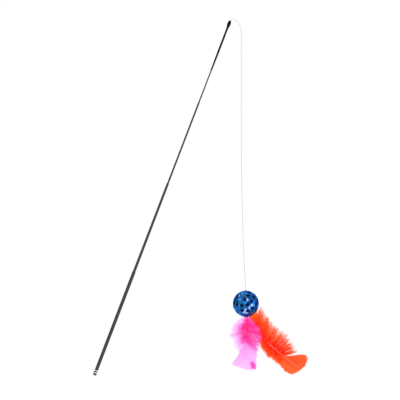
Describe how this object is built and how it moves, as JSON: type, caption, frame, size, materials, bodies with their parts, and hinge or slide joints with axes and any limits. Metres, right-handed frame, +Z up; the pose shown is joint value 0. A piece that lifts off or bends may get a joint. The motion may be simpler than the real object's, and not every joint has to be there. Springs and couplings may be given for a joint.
{
  "type": "cat teaser wand",
  "caption": "Telescopic cat teaser wand: a tapered rod extends from a slim handle, and a clear line from its tip carries a foil ball with feathers.",
  "frame": {"origin": "on the handle's axis, 80 mm from the butt's end face, where a hand holds it", "axes": "+Z up, +X towards the tip's side: the rod leans 30 degrees from +Z towards +X and the line hangs down -Z from its tip"},
  "size_m": [0.511, 0.1039, 0.6733],
  "materials": {
    "section_lacquer": "glossy dark grey lacquer over glass fibre",
    "black_plastic": "moulded black plastic",
    "ring_metal": "turned and polished",
    "grey_rubber": "matt pale grey",
    "black_sleeve": "satin black shrink sleeve",
    "clear_line": "clear nylon, seen as pale grey",
    "ball_plastic": "moulded navy plastic",
    "blue_foil": "wrinkled metallic blue foil",
    "dark_mirror": "flat dark blue mirror film",
    "azure_mirror": "flat bright blue mirror film",
    "pink_quill": "dyed horn",
    "pink_feather": "dyed down and vane",
    "orange_quill": "dyed horn",
    "orange_feather": "dyed down and vane"
  },
  "bodies": {
    "handle": {"handle_tube": "section_lacquer"},
    "butt": {"butt_plug": "black_plastic", "butt_ring_lower": "ring_metal", "butt_spacer": "black_plastic", "butt_ring_upper": "ring_metal", "butt_pad": "grey_rubber", "butt_cushion": "grey_rubber"},
    "second": {"second_tube": "section_lacquer"},
    "third": {"third_tube": "section_lacquer"},
    "tip": {"tip_rod": "section_lacquer", "tip_boot": "black_sleeve", "tip_cap": "black_sleeve", "tip_knot": "clear_line", "line_arc": "clear_line"},
    "line": {"line_drop": "clear_line"},
    "knot": {"ball_knot": "clear_line"},
    "ball": {"ball_upper_half": "ball_plastic", "ball_lower_half": "ball_plastic", "foil_skin": "blue_foil", "dark_dots": "dark_mirror", "bright_dots": "azure_mirror", "line_tail": "clear_line", "line_stopper": "black_plastic", "feather_plug": "ball_plastic"},
    "pink_feather": {"pink_quill": "pink_quill", "pink_down": "pink_feather", "pink_vane": "pink_feather"},
    "orange_feather": {"orange_quill": "orange_quill", "orange_down": "orange_feather", "orange_vane": "orange_feather"}
  },
  "joints": [
    {"name": "butt_pull", "type": "slide", "parent": "handle", "child": "butt", "axis": [-0.5, 0, -0.866], "range_m": [0, 0.025]},
    {"name": "second_slide", "type": "slide", "parent": "handle", "child": "second", "axis": [0.5, 0, 0.866], "range_m": [-0.168, 0]},
    {"name": "third_slide", "type": "slide", "parent": "second", "child": "third", "axis": [0.5, 0, 0.866], "range_m": [-0.165, 0]},
    {"name": "tip_slide", "type": "slide", "parent": "third", "child": "tip", "axis": [0.5, 0, 0.866], "range_m": [-0.068, 0]},
    {"name": "line_swing", "type": "hinge", "parent": "tip", "child": "line", "pos_m": [0.36782, 0, 0.55779], "axis": [0, 1, 0], "range_deg": [-70, 18]},
    {"name": "ball_tilt", "type": "hinge", "parent": "line", "child": "knot", "pos_m": [0.3814, 0, 0.06974], "axis": [0.6508, -0.7593, 0], "range_deg": [-35, 35]},
    {"name": "ball_spin", "type": "hinge", "parent": "knot", "child": "ball", "pos_m": [0.3814, 0, 0.06974], "axis": [0, 0, 1], "continuous": true},
    {"name": "pink_flex", "type": "hinge", "parent": "ball", "child": "pink_feather", "pos_m": [0.37949, -0.00085, 0.01694], "axis": [0.6508, -0.7593, 0], "range_deg": [-25, 3], "stiffness_Nm_per_rad": 0.004},
    {"name": "orange_flex", "type": "hinge", "parent": "ball", "child": "orange_feather", "pos_m": [0.38422, -0.00022, 0.01694], "axis": [0.4707, -0.6846, 0.5566], "range_deg": [-3, 25], "stiffness_Nm_per_rad": 0.006}
  ]
}
